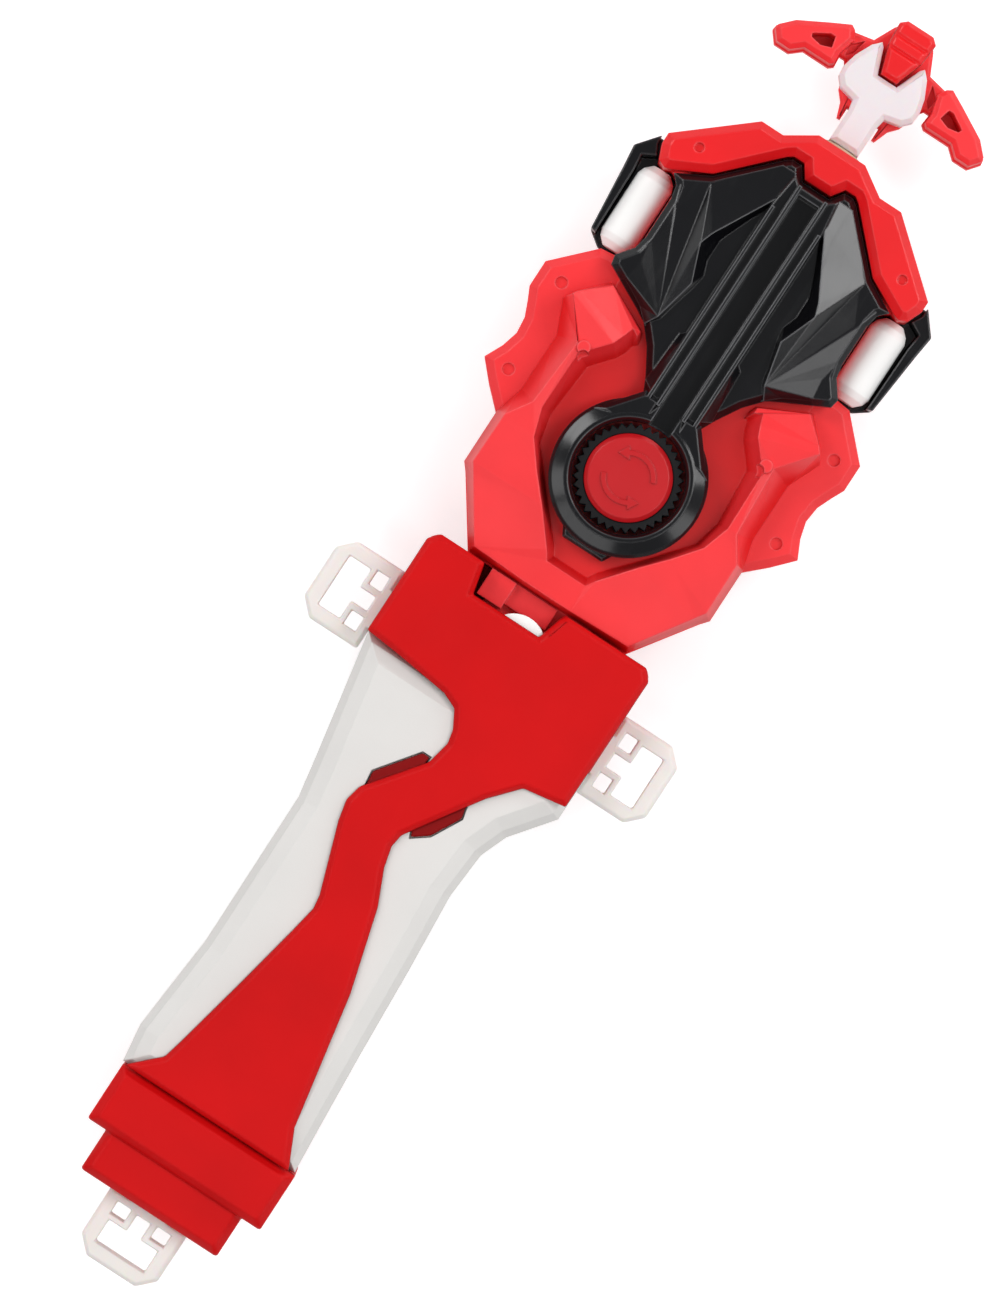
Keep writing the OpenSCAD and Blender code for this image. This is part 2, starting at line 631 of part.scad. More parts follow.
// Face plate: flat fields, raised middle with a groove and ribs, ring round the dial
rib_w = 0.16 * groove_w;
module rib(x, from, to, top) block([x - rib_w / 2, x + rib_w / 2], [from, to], [deck_z + wall / 2, top]);
module face_plate() color(black) difference() {
  union() {
    twin_plate(body(face_shares), deck_z, face_top, bevel * 0.8);
    twin_plate(body(spine_shares), deck_z, face_top + 0.6 * spine_t, gap);
    disc(ring_r, deck_z, ring_top - bevel);
    cone(ring_r, ring_r - 0.4 * bevel, ring_top - bevel, ring_top - 0.6 * bevel);
    cone(ring_r - 0.4 * bevel, ring_r - 1.8 * bevel, ring_top - 0.6 * bevel, ring_top);
    rear = [[2.6 * wall, -ring_r - bevel / 2], [3.4 * wall, -ring_r + bevel]];
    twin_plate(rear, deck_z, face_top, bevel / 3);
    sides() {
      facets(at_z(body(field_foot_shares), deck_z + wall), raised(field_shares));
      facets(at_z(body(strip_shares), deck_z + wall), raised(strip_shares));
      rib(0.64 * groove_w, 0.95 * ring_r, 0.86 * body_front, ring_top);
      rib(1.15 * groove_w, 0.9 * ring_r, 0.78 * body_front, ring_top - gap / 2);
      plate(ring_r * shoulder_shares, deck_z, ring_top - gap / 2, 0.6 * bevel);
    }
  }
  block([-groove_w / 2, groove_w / 2], [0, 0.84 * body_front], [deck_z + wall, ring_top + over]);
  disc(ring_in, deck_z - over, ring_top + over);
  cone(ring_in - gap, ring_in + bevel / 2, ring_top - bevel, ring_top + gap);
}

// Side frames and the padded bars they hold
pad_r = 3.6;
pad_x = neck_share * body_half + pad_r + gap;
pad_z = web_z + wall + pad_r;
pad_y = 0.593 * body_front;
pad_half = 8.4;
module side_frame_right() color(black) {
  prism(body(web_shares), web_z, web_z + wall);
  prism(body(rim_shares), web_z + wall / 2, pad_z + pad_r / 2);
}
module side_frame_left() left() side_frame_right();
module side_pad_right() color(white) translate([pad_x, pad_y, pad_z]) rotate([-90, 0, 0]) {
  core = pad_half - 0.7 * pad_r;
  cylinder(h = 2 * core, r = pad_r, center = true);
  for (a = [0, 180]) rotate([a, 0, 0]) {
    disc_end = 0.35 * pad_r;
    translate([0, 0, core]) cylinder(h = disc_end, r1 = pad_r, r2 = 0.86 * pad_r);
    translate([0, 0, core + disc_end]) cylinder(h = disc_end, r1 = 0.86 * pad_r, r2 = 0.5 * pad_r);
  }
}
module side_pad_left() left() side_pad_right();

// Dial: serrated wheel, disc and the cam that shifts the train
cam_leg = 24;
cam_play = 5;
cam_leg_in = 0.7 * dial_r;
cam_leg_out = 0.9 * dial_r;
cam_z = base_h - 2.5 * wall / 2;
module selector_wheel() color(black) difference() {
  prism([
    for (i = [0 : 2 * serrations - 1])
      let (r = dial_r * (i % 2 == 0 ? 1 : 0.9), a = 180 * i / serrations) [r * cos(a), r * sin(a)]
  ], dial_z, dial_z + dial_t);
  disc(cap_r + fit, cap_z, dial_z + dial_t + over);
  disc(spigot_r + run, dial_z - over, cap_z + over);
}
module selector_cap() color(deep_red) {
  disc(cap_r, cap_z, cap_z + 0.4 * dial_t);
  cone(cap_r, cap_r - bevel / 2, cap_z + 0.4 * dial_t, cap_z + 0.55 * dial_t);
  arrow_z = cap_z + 0.55 * dial_t;
  for (a = [0, 180]) {
    arc_bar(0.5 * cap_r, 0.62 * cap_r, arrow_z - gap, arrow_z + gap, a + 20, 100);
    head = [[-0.16 * cap_r, 0], [0.16 * cap_r, 0], [0, 0.26 * cap_r]];
    rotate(a + 120) translate([0.56 * cap_r, 0]) prism(head, arrow_z - gap, arrow_z + gap);
  }
}
module shift_cam() color(black) {
  difference() {
    disc(cam_leg_out + gap, cam_z, cam_z + wall);
    disc(cam_leg_in - 2 * gap, cam_z - over, base_h);
  }
  for (a = [0, 180]) arc_bar(cam_leg_in, cam_leg_out, cam_z + wall / 2, dial_z, a - cam_leg, cam_leg);
}
module detent_spring() color(steel) {
  arc_bar(spigot_r + gap, cam_leg_in - 2 * gap, deck_z, deck_z + gap, 200, 110);
}

// Spool with its winding, spring and post
spring_r = drum_r - wall;
module spool() color(black) translate([0, spool_y]) difference() {
  union() {
    gear(spool_teeth, -90);
    disc(drum_r, gear_top, spool_top);
    disc(flange_r, gear_top + drum_h, spool_top);
  }
  disc(spring_r, gear_z + wall, spool_top + over);
  disc(post_r + run, gear_z - over, spool_top);
}
module string_winding() color(white) translate([0, spool_y]) rotate_extrude() {
  rows = ceil((drum_h - 2 * string_r) / (1.7 * string_r));
  for (k = [0 : string_layers - 1], i = [0 : rows])
    let (z = gear_top + string_r + (drum_h - 2 * string_r) * i / rows)
      translate([drum_r + string_r * (1 + 1.75 * k), z]) circle(string_r, $fn = 12);
}
module clock_spring() color(steel) translate([0, spool_y]) {
  turns = 5;
  steps = 20;
  strip = 0.3 * wall;
  inner = post_r + strip;
  outer = spring_r - 2 * strip;
  path = [for (i = [0 : turns * steps]) let (t = i / steps) [inner + (outer - inner) * t / turns, 360 * t]];
  line = concat(
    [for (p = path) p[0] * [cos(p[1]), sin(p[1])]],
    [for (p = turned(path)) (p[0] + strip) * [cos(p[1]), sin(p[1])]]
  );
  prism(line, gear_z + wall, spool_top - gap);
}
module spool_post() color(steel) translate([0, spool_y]) disc(post_r, floor_t / 4, base_h + deck_t / 2);

// Idler on its pin
idler_r = 1.5;
module idler_gear() color(white) translate([0, idler_y]) difference() {
  union() {
    gear(idler_teeth, 90 + 180 / idler_teeth);
    disc(1.7 * idler_r, gear_z, gear_top + gear_t / 2);
  }
  disc(idler_r + run, gear_z - over, base_h);
}
module idler_pin() color(steel) translate([0, idler_y]) disc(idler_r, floor_t / 4, base_h + deck_t / 2);

// Spin hub with hooked prongs, its bush and the sprung pin in the middle
prong_ring = 0.74 * disc_r;
prong_t = 0.2 * disc_r;
prong_arc = 34;
hook_arc = 16;
module hub() color(black) difference() {
  union() {
    gear(hub_teeth, 90);
    disc(neck_r, disc_top, gear_z);
    disc(hub_top_r, gear_top, hub_top);
    disc(disc_r, disc_z, disc_top);
    for (i = [0 : prongs - 1]) {
      from = 360 * i / prongs;
      inner = prong_ring - prong_t / 2;
      arc_bar(inner, inner + prong_t, prong_z, disc_z, from, prong_arc);
      arc_bar(inner, inner + prong_t, prong_z, prong_z + prong_h / 3.5, from, prong_arc + hook_arc);
    }
  }
  disc(pin_r + run, disc_z - over, chamber_z);
  disc(chamber_r, chamber_z, hub_top + over);
}
module hub_bush() color(white) difference() {
  union() {
    disc(bush_r, 0, floor_t);
    disc(bush_r + wall, floor_t, floor_t + 0.2 * wall);
  }
  disc(neck_r + run, -over, gear_z);
}
collar_t = 0.3 * gear_t;
module centre_pin() color(steel) {
  disc(pin_r, disc_z - 0.6 * prong_h, chamber_z + collar_t);
  disc(chamber_r - gap, chamber_z, chamber_z + collar_t);
  disc(0.5 * pin_r, chamber_z, chamber_z + collar_t + 0.6 * pin_travel);
}
spring_wire = 0.25;
module centre_spring() color(steel)
  coil(chamber_r - gap - spring_wire, spring_wire, chamber_z + collar_t, base_h, 5);

// String: guided at the nose, led to the drum and pulled by the handle
module string_eyelet() color(tan_colour) difference() {
  union() {
    along_y(eyelet_r, eye_in, body_front + lip_t / 2, line_z);
    along_y(eyelet_r + wall / 2, body_front, eye_out, line_z);
  }
  along_y(eye_r, eye_in - over, eye_out + over, line_z);
}
lead_to = eye_in - gap;
lead_far = lead_to - spool_y;
lead_angle = acos(lead_r / lead_far);
module string_lead() color(white)
  translate([-lead_r * sin(lead_angle), spool_y + lead_r * cos(lead_angle), line_z])
    rotate([0, 0, lead_angle - 90]) rotate([-90, 0, 0])
      cylinder(h = lead_far * sin(lead_angle), r = string_r);
knot_r = 1.9 * string_r;
knot_y = 1.115 * body_front;
module string_pull() color(white) along_y(string_r, lead_to + string_r, knot_y - knot_r / 2, line_z);
module string_knot() color(white) difference() {
  translate([0, knot_y, line_z]) rotate([-90, 0, 0]) {
    disc(knot_r, -knot_r / 3, knot_r / 3);
    cone(knot_r, 0.7 * knot_r, knot_r / 3, 0.8 * knot_r);
    cone(0.7 * knot_r, knot_r, -0.8 * knot_r, -knot_r / 3);
  }
  along_y(string_r, knot_y - 2 * knot_r, knot_y - knot_r / 2, line_z);
}

// Handle: clear fork over a red wing plate, with a wedge between the fork's arms
wing_top = line_z - 2 * string_r;
wing_low = wing_top - wing_t;
fork_top = wing_top + fork_t;
neck_low = line_z - string_r - 1.2 * wall;
module handle_fork() color(clear) difference() {
  union() {
    twin_plate(body(fork_shares), wing_top, fork_top, bevel * 0.6, 0);
    neck = body([fork_shares[0], [fork_shares[0][0], 1.105]]);
    twin_plate(neck, neck_low, fork_top - bevel * 0.6, bevel / 3, bevel / 3);
  }
  along_y(string_r + gap / 2, body_front, knot_y, line_z);
  translate([0, knot_y, 0]) disc(1.1 * knot_r, wing_top - over, line_z + 1.2 * knot_r);
}
module handle_wings() color(red) difference() {
  union() {
    twin_plate(body(wings_shares), wing_low, wing_top, bevel / 3, bevel / 3);
    sides() plate(inset(body(tip_shares), gap), wing_low + wing_t / 2, wing_low + tip_t, bevel * 0.6);
  }
  sides() for (w = windows_shares) prism(body(w), wing_low + 0.6 * wing_t, wing_low + tip_t + over);
}
module handle_wedge() color(deep_red) difference() {
  twin_plate(body(wedge_shares), wing_top, fork_top + wall / 2, bevel / 2, 0);
  for (k = [0, 1]) translate([0, (1.3 + 0.035 * k) * body_front, fork_top + wall / 2])
    rotate([45, 0, 0]) cube([body_half, wall / 2, wall / 2], center = true);
}

module body_screws() color(steel) at_posts() screw(seat_z - head_t, base_h - wall);

// Grip: two white shells, red covers, head block, tail and strap loops
shell_wall = 1.2 * wall;
function dome(v, low, turn) = [
  at_z(v, turn * low),
  at_z(v, turn * (low + 0.55 * (grip_t / 2 - low))),
  at_z(inset(v, 0.35 * grip_round), turn * (grip_t / 2 - 0.35 * grip_round)),
  at_z(inset(v, grip_round), turn * grip_t / 2)
];
bolt_boss = 2.4 * screw_r;
module at_bolts() for (p = grip(bolt_shares)) translate([p[0], p[1], 0]) children();
module half_shell() {
  v = grip(panel_shares);
  difference() {
    union() {
      difference() {
        loft(dome(v, 0, 1));
        loft([
          at_z(inset(v, shell_wall), -over),
          at_z(inset(v, shell_wall), 0.5 * (grip_t / 2)),
          at_z(inset(v, shell_wall + grip_round), grip_t / 2 - shell_wall)
        ]);
      }
      at_bolts() disc(bolt_boss, 0, grip_t / 2 - shell_wall / 2);
      for (s = lugs_shares) prism(inset(grip(s), -2 * gap), grip_t / 2 - lug_z - shell_wall, grip_t / 2);
    }
    for (s = lugs_shares) prism(inset(grip(s), -gap), grip_t / 2 - lug_z - gap, grip_t / 2 + over);
    children();
  }
}
module grip_front_shell() color(white) translate([0, 0, grip_mid]) half_shell() {
  at_bolts() disc(screw_r + fit, -over, grip_t / 2 - shell_wall);
}
module grip_back_shell() color(white) translate([0, 0, grip_mid]) mirror([0, 0, 1]) half_shell() {
  at_bolts() {
    disc(screw_r + fit, -over, grip_t / 2 + over);
    disc(head_r + gap, grip_t / 4, grip_t / 2 + over);
  }
}
lug_z = 0.7 * shell_wall;
module cover() {
  plate(grip(cover_shares), 0, cover_t, 0.6 * cover_t);
  for (s = lugs_shares) prism(grip(s), -lug_z, 0.2 * cover_t);
}
module front_cover() color(deep_red) translate([0, 0, grip_top]) cover();
module back_cover() color(deep_red) translate([0, 0, grip_low]) mirror([0, 0, 1]) cover();

// Head block: socket for the tongue, well for the lock button
button_r = 5.6;
stem_r = 2.2;
stem_y = button_y - 0.45 * button_r;
button_top = grip_top - gap;
button_low = button_top - 1.4 * wall;
catch_z = tongue_low - gap - wall;
shelf_z = tongue_top;
module head_block() color(deep_red) difference() {
  plate(grip(head_shares), grip_low, grip_top, bevel / 2, bevel / 2);
  socket_x = [-tongue_half - 2 * wall, tongue_half + wall];
  block(socket_x, [grip_y - tongue_len - gap, grip_y + over], [tongue_low, tongue_top + gap]);
  prism(grip(notch_shares), tongue_low, grip_top + over);
  catch_x = [button_x - catch_w / 2 - gap, button_x + catch_w / 2 + gap];
  catch_room = [catch_z - lock_travel - gap, tongue_low + over];
  block(catch_x, [stem_y - stem_r - 2 * gap, grip_y - catch_in], catch_room);
  translate([button_x, stem_y]) disc(stem_r + gap, catch_z, grip_top);
  translate([button_x, stem_y]) disc(stem_r + 3 * gap + 4 * spring_wire, shelf_z, grip_top + over);
  translate([button_x, button_y]) disc(button_r + gap, button_low - lock_travel - gap, grip_top + over);
  right_loop() loop_root(gap / 3);
  left_loop() loop_root(gap / 3);
  for (x = [[-0.75, -0.35], [0.32, 0.6]])
    block(x * grip_half, grip_y * [1, 1] - [0.15, 0.08] * grip_len, [grip_low + wall, grip_top - wall]);
}
module lock_button() color(white) {
  translate([button_x, button_y]) disc(button_r, button_low, button_top);
  translate([button_x, stem_y]) disc(stem_r, catch_z, button_low);
  x = [button_x - catch_w / 2 + gap, button_x + catch_w / 2 - gap];
  front = grip_y - catch_in - gap;
  block(x, [stem_y, front], [catch_z, catch_z + wall]);
  block(x, [grip_y - tongue_len + wall / 2 + gap, front], [catch_z, tongue_low + 0.7 * lock_travel]);
}
module lock_spring() color(steel) translate([button_x, stem_y])
  coil(stem_r + 2 * gap + spring_wire, spring_wire, shelf_z, button_low, 5);

module tail_cap() color(deep_red) difference() {
  x = tail_half_share * grip_half;
  y = [grip_y - tail_share * grip_len, grip_y - foot_share * grip_len, grip_y - grip_len];
  foot = foot_half_share * grip_half;
  union() {
    cap = [[-x, y[1]], [x, y[1]], [x, y[0]], [-x, y[0]]];
    plate(cap, grip_low - cover_t / 2, grip_top + cover_t / 2, bevel, bevel);
    end = [[-foot, y[2]], [foot, y[2]], [foot, y[1] + wall], [-foot, y[1] + wall]];
    plate(end, grip_low + bevel, grip_top - bevel, bevel, bevel);
  }
  block([wall - x, x - wall], [y[1] + wall, y[0] + over], [grip_low + wall, grip_top - wall]);
  tail_loop() loop_root(gap / 3);
}

// Strap loop, drawn along +X from the edge that it stands on
loop_root_in = 3;
root_half = 0.48 * loop_half;
function loop_outline() = [
  [0, -loop_half], [loop_out - loop_bar, -loop_half], [loop_out, loop_bar - loop_half],
  [loop_out, loop_half - loop_bar], [loop_out - loop_bar, loop_half], [0, loop_half]
];
module loop_root(slack)
  block([-loop_root_in - slack, over], [-root_half - slack, root_half + slack], [-loop_t / 2, loop_t / 2]);
module loop() difference() {
  union() {
    plate(loop_outline(), -loop_t / 2, loop_t / 2, loop_t / 6, loop_t / 6);
    block([-loop_root_in, 0.1 * loop_out], [-root_half, root_half], [-loop_t / 2, loop_t / 2]);
  }
  bar = loop_bar;
  block([0.42 * loop_out, loop_out - bar], [bar - loop_half, loop_half - bar], [-loop_t, loop_t]);
  block([0.16 * loop_out, 0.5 * loop_out], [-0.5 * bar, 0.5 * bar], [-loop_t, loop_t]);
  for (y = [-0.52, 0.52] * loop_half)
    block([0.14 * loop_out, 0.34 * loop_out], [y - bar / 2, y + bar / 2], [-loop_t, loop_t]);
}
side_loop_y = grip_y - side_loop_share * grip_len;
module right_loop() translate([head_shares[0][0] * grip_half, side_loop_y, grip_mid]) children();
module left_loop() translate([-grip_half, side_loop_y, grip_mid]) rotate(180) children();
module tail_loop() translate([0, grip_y - grip_len, grip_mid]) rotate(-90) children();
module strap_loop_right() color(white) right_loop() loop();
module strap_loop_left() color(white) left_loop() loop();
module strap_loop_tail() color(white) tail_loop() loop();

module grip_screws() color(steel) translate([0, 0, grip_mid]) at_bolts()
  screw(-grip_t / 4 - head_t, grip_t / 2 - 2 * shell_wall);

base_shell();
top_shell();
front_cowl();
face_plate();
side_frame_right();
side_frame_left();
side_pad_right();
side_pad_left();
selector_wheel();
selector_cap();
shift_cam();
detent_spring();
spool();
string_winding();
clock_spring();
spool_post();
idler_gear();
idler_pin();
hub();
hub_bush();
centre_pin();
centre_spring();
string_eyelet();
string_lead();
string_pull();
string_knot();
handle_fork();
handle_wings();
handle_wedge();
body_screws();
grip_front_shell();
grip_back_shell();
front_cover();
back_cover();
head_block();
tail_cap();
strap_loop_right();
strap_loop_left();
strap_loop_tail();
lock_button();
lock_spring();
grip_screws();
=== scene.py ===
# %% [markdown]
# # A spinning top launcher, dressed for the camera
# The CAD model already holds every solid of the launcher: the geared head, the dial, the pull
# handle and the long grip. This script adds what a plastic moulding shows besides its shape:
# softened edges, finishes with grain and wear, the braided string, and a studio around it.
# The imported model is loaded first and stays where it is, because the motion depends on it.

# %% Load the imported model
import math
import bpy
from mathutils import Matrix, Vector


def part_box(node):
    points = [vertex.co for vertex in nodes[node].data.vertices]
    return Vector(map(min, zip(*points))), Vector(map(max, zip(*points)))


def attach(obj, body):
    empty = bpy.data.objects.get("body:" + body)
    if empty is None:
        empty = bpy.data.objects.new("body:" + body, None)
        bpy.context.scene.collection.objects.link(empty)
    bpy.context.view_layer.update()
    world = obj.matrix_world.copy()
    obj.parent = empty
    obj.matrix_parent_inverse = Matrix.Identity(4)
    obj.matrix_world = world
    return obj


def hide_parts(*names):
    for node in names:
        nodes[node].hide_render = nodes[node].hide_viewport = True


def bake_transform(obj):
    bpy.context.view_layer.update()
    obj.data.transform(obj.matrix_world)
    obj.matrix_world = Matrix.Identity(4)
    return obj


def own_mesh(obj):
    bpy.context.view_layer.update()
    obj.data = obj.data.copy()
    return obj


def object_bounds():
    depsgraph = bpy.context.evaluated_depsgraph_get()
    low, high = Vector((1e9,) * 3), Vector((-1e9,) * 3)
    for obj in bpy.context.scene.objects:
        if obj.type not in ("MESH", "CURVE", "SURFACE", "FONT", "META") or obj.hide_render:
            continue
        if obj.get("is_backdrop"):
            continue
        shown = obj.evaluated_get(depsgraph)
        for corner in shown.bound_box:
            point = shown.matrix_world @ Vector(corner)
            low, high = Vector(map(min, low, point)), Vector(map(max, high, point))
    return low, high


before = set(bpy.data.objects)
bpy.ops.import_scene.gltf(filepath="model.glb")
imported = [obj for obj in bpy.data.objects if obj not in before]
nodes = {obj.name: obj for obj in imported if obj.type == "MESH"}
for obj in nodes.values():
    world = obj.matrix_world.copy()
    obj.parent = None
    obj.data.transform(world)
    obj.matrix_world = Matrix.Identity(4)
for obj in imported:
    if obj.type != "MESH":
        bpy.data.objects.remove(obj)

MM = 0.001
cad_low, cad_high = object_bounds()
print("CAD box in mm:", [round((b - a) / MM, 1) for a, b in zip(cad_low, cad_high)])

# %% [markdown]
# ## Camera
# The photograph looks almost straight down on the launcher's face, with the head at the upper
# right. A camera far above with a long lens gives the same small amount of perspective. It is
# turned about the vertical until the grip runs down to the lower left, as in the picture.

# %% Camera straight above the face
view_centre = Vector((-2.2, -38.0, 10.0)) * MM
view_height = 232.5 * MM
camera_distance = 0.95
far_clip = 20
tilt = math.radians(33.15)

camera = bpy.data.objects.new("camera", bpy.data.cameras.new("camera"))
bpy.context.scene.collection.objects.link(camera)
camera.location = view_centre + Vector((0, 0, camera_distance))
camera.rotation_euler = (0, 0, tilt)
camera.data.sensor_fit = "VERTICAL"
camera.data.lens = camera.data.sensor_height * camera_distance / view_height
camera.data.clip_end = far_clip
bpy.context.scene.camera = camera
bpy.context.scene.view_settings.view_transform = "Standard"
print("lens in mm:", round(camera.data.lens, 1))

# %% [markdown]
# ## Floor
# The photograph's backdrop is white, and the toy seems to float on it. A pale floor just under
# the lowest point gives the soft shadow that tells the eye how the piece stands. A white
# emitting plane would lose that shadow, so the floor is plain and matt, and only what the
# camera sees of it is lifted a little with a glow.

# %% Pale floor that keeps the shadow
floor_gap = 0.2 * MM
half_floor = 4.0
floor_colour = (0.86, 0.86, 0.86, 1)
camera_glow = 0.45


def link(obj):
    """Puts an object into the scene and returns it."""
    bpy.context.scene.collection.objects.link(obj)
    return obj


def mesh_object(name, verts, faces):
    """Makes an object from points and faces."""
    mesh = bpy.data.meshes.new(name)
    mesh.from_pydata([tuple(v) for v in verts], [], faces)
    mesh.update()
    return link(bpy.data.objects.new(name, mesh))


def floor_material():
    """Pale floor, a little lighter to the camera, with the object's shadow kept."""
    mat = bpy.data.materials.new("studio_floor")
    mat.use_nodes = True
    tree = mat.node_tree
    tree.nodes.clear()
    out = tree.nodes.new("ShaderNodeOutputMaterial")
    add = tree.nodes.new("ShaderNodeAddShader")
    diffuse = tree.nodes.new("ShaderNodeBsdfDiffuse")
    glow = tree.nodes.new("ShaderNodeEmission")
    path = tree.nodes.new("ShaderNodeLightPath")
    share = tree.nodes.new("ShaderNodeMath")
    share.operation = "MULTIPLY"
    share.inputs[1].default_value = camera_glow
    diffuse.inputs["Color"].default_value = floor_colour
    tree.links.new(path.outputs["Is Camera Ray"], share.inputs[0])
    tree.links.new(share.outputs[0], glow.inputs["Strength"])
    tree.links.new(diffuse.outputs[0], add.inputs[0])
    tree.links.new(glow.outputs[0], add.inputs[1])
    tree.links.new(add.outputs[0], out.inputs["Surface"])
    return mat


floor_z = cad_low[2] - floor_gap
floor = mesh_object(
    "studio_floor",
    [(x * half_floor, y * half_floor, floor_z) for x, y in ((-1, -1), (1, -1), (1, 1), (-1, 1))],
    [(0, 1, 2, 3)],
)
floor.data.materials.append(floor_material())
floor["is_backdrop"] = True
print("floor at", round(floor_z / MM, 2), "mm")

# %% [markdown]
# ## Lamps
# A product picture of plastic needs wide, soft lamps: small ones make hard white dots on the
# gloss. One large lamp stands on the left and a weaker one on the right. Others hang where a
# sloping face mirrors them towards the camera: two for the right-hand slopes of the black plate,
# which the photograph shows grey while the left-hand ones are dark, one for the apron between
# the dial and the grip, and one that with the tail lamp keeps the ring round the dial grey.
# Nothing shines from right above, so the level black faces stay dark.

# %% Soft lamps round the launcher
lamps = {  # place in m, size in m, power in W
    "lamp_left": ((-0.93, 0.25, 0.88), (0.45, 0.8), 6.0),
    "lamp_right": ((1.0, -0.1, 0.6), (0.35, 0.9), 2.2),
    "lamp_slopes": ((0.58, 0.58, 1.06), (0.5, 0.5), 5),
    "lamp_slopes_low": ((0.44, 0.03, 1.24), (0.4, 0.4), 1.4),
    "lamp_apron": ((0.05, -0.42, 1.25), (0.3, 0.3), 0.7),
    "lamp_head": ((0.2, 0.95, 0.4), (0.9, 0.25), 2.7),
    "lamp_tail": ((-0.15, -0.95, 0.88), (1.0, 0.5), 2.4),
    "lamp_ring": ((-0.8, -0.52, 0.89), (0.4, 0.7), 1.9),
}
air_colour = (0.95, 0.97, 1.0, 1)
air_strength = 0.25


def lamp(name, place, size, power):
    """Adds an area lamp that looks at the middle of the view."""
    data = bpy.data.lights.new(name, "AREA")
    data.shape = "RECTANGLE"
    data.size, data.size_y = size
    data.energy = power
    obj = link(bpy.data.objects.new(name, data))
    obj.location = place
    obj.rotation_euler = (view_centre - Vector(place)).to_track_quat("-Z", "Y").to_euler()


for name, (place, size, power) in lamps.items():
    lamp(name, place, size, power)

world = bpy.data.worlds.new("studio_air")
world.use_nodes = True
air = world.node_tree.nodes["Background"]
air.inputs["Color"].default_value = air_colour
air.inputs["Strength"].default_value = air_strength
bpy.context.scene.world = world
print(len(lamps), "lamps with", round(sum(power for _, _, power in lamps.values()), 1), "W in all")

# %% [markdown]
# ## Helpers for the finishes
# A procedural finish is a small sum that Blender works out at every point of a surface. It
# starts from noise over the object's own coordinates, so the pattern stays with the piece when
# it moves and has the same grain on a large and a small one. The other helpers here map such a
# value into a range, do arithmetic with values, and mix two colours by one.

# %% Noise, ranges and mixing
noise_low, noise_high = 0.3, 0.7
noise_detail = 3


def noise(tree, coords, scale, detail=noise_detail, stretch=(1, 1, 1)):
    """Noise texture over the object's own coordinates; scale counts cells a millimetre."""
    mapping = tree.nodes.new("ShaderNodeMapping")
    mapping.inputs["Scale"].default_value = [s * scale / MM for s in stretch]
    node = tree.nodes.new("ShaderNodeTexNoise")
    node.inputs["Scale"].default_value = 1.0
    node.inputs["Detail"].default_value = detail
    tree.links.new(coords, mapping.inputs["Vector"])
    tree.links.new(mapping.outputs["Vector"], node.inputs["Vector"])
    return node.outputs["Fac"]


def spread(tree, value, low, high, from_low=noise_low, from_high=noise_high):
    """Maps a value into a range; most of a noise lies between the two defaults."""
    node = tree.nodes.new("ShaderNodeMapRange")
    node.inputs["From Min"].default_value = from_low
    node.inputs["From Max"].default_value = from_high
    node.inputs["To Min"].default_value = low
    node.inputs["To Max"].default_value = high
    tree.links.new(value, node.inputs["Value"])
    return node.outputs["Result"]


def worked(tree, operation, *values):
    """Applies a math operation to linked values and plain numbers."""
    node = tree.nodes.new("ShaderNodeMath")
    node.operation = operation
    for socket, value in zip(node.inputs, values):
        if isinstance(value, (int, float)):
            socket.default_value = value
        else:
            tree.links.new(value, socket)
    return node.outputs[0]


def mixed(tree, factor, colour, other, mode="MIX"):
    """Mixes a colour with a fixed one by a factor."""
    mix = tree.nodes.new("ShaderNodeMix")
    mix.data_type = "RGBA"
    mix.blend_type = mode
    sockets = {socket.identifier: socket for socket in [*mix.inputs, *mix.outputs]}
    tree.links.new(factor, mix.inputs["Factor"])
    tree.links.new(colour, sockets["A_Color"])
    sockets["B_Color"].default_value = (*other, 1)
    return sockets["Result_Color"]


print("noise is read between", noise_low, "and", noise_high)

# %% [markdown]
# ## Colour of a moulding
# Injection-moulded plastic is one colour all through, but it never looks perfectly even: the
# flow of the melt leaves faint clouds. The colour here also carries painted light. An
# occlusion node that looks inward finds the outward edges, and a lighter colour there is a
# painted highlight, as if the edges caught light from all round. And where red walls face
# each other, painted shade makes the colour darker and redder by depth, standing in for the
# light that bounces between them: on the lugs under the cover's edge and in the bowl round the
# dial.

# %% Clouds, painted edge highlights and painted shade in hollows
cloud_scale = 0.05
edge_highlight_range = (0.55, 0.95)
edge_highlight_samples = 8


def clouded(tree, coords, colour, clouds):
    """Varies a colour a little in large soft clouds."""
    ramp = tree.nodes.new("ShaderNodeValToRGB")
    darker, lighter = ramp.color_ramp.elements
    darker.position, lighter.position = noise_low, noise_high
    darker.color = (*[c * (1 - clouds) for c in colour], 1)
    lighter.color = (*[min(1, c * (1 + clouds)) for c in colour], 1)
    tree.links.new(noise(tree, coords, cloud_scale), ramp.inputs["Fac"])
    return ramp.outputs["Color"]


def painted_edge_highlight(tree, colour, rim, reach):
    """Paints a highlight on outward edges: a lighter colour where they would catch light from all
    round.
    """
    inward = tree.nodes.new("ShaderNodeAmbientOcclusion")
    inward.inside = True
    inward.only_local = True
    inward.samples = edge_highlight_samples
    inward.inputs["Distance"].default_value = reach * MM
    return mixed(tree, spread(tree, inward.outputs["AO"], 1, 0, *edge_highlight_range), colour, rim)


def painted_hollow_shade(tree, coords, colour, middle, low, high, shade_colour):
    """Paints shade into a colour where the surface lies deeper than a height from the middle
    plane.
    """
    split = tree.nodes.new("ShaderNodeSeparateXYZ")
    tree.links.new(coords, split.inputs[0])
    height = worked(tree, "ABSOLUTE", worked(tree, "SUBTRACT", split.outputs["Z"], middle))
    return mixed(tree, spread(tree, height, 1, 0, low, high), colour, shade_colour, "MULTIPLY")


print("clouds about", round(1 / cloud_scale), "mm wide")

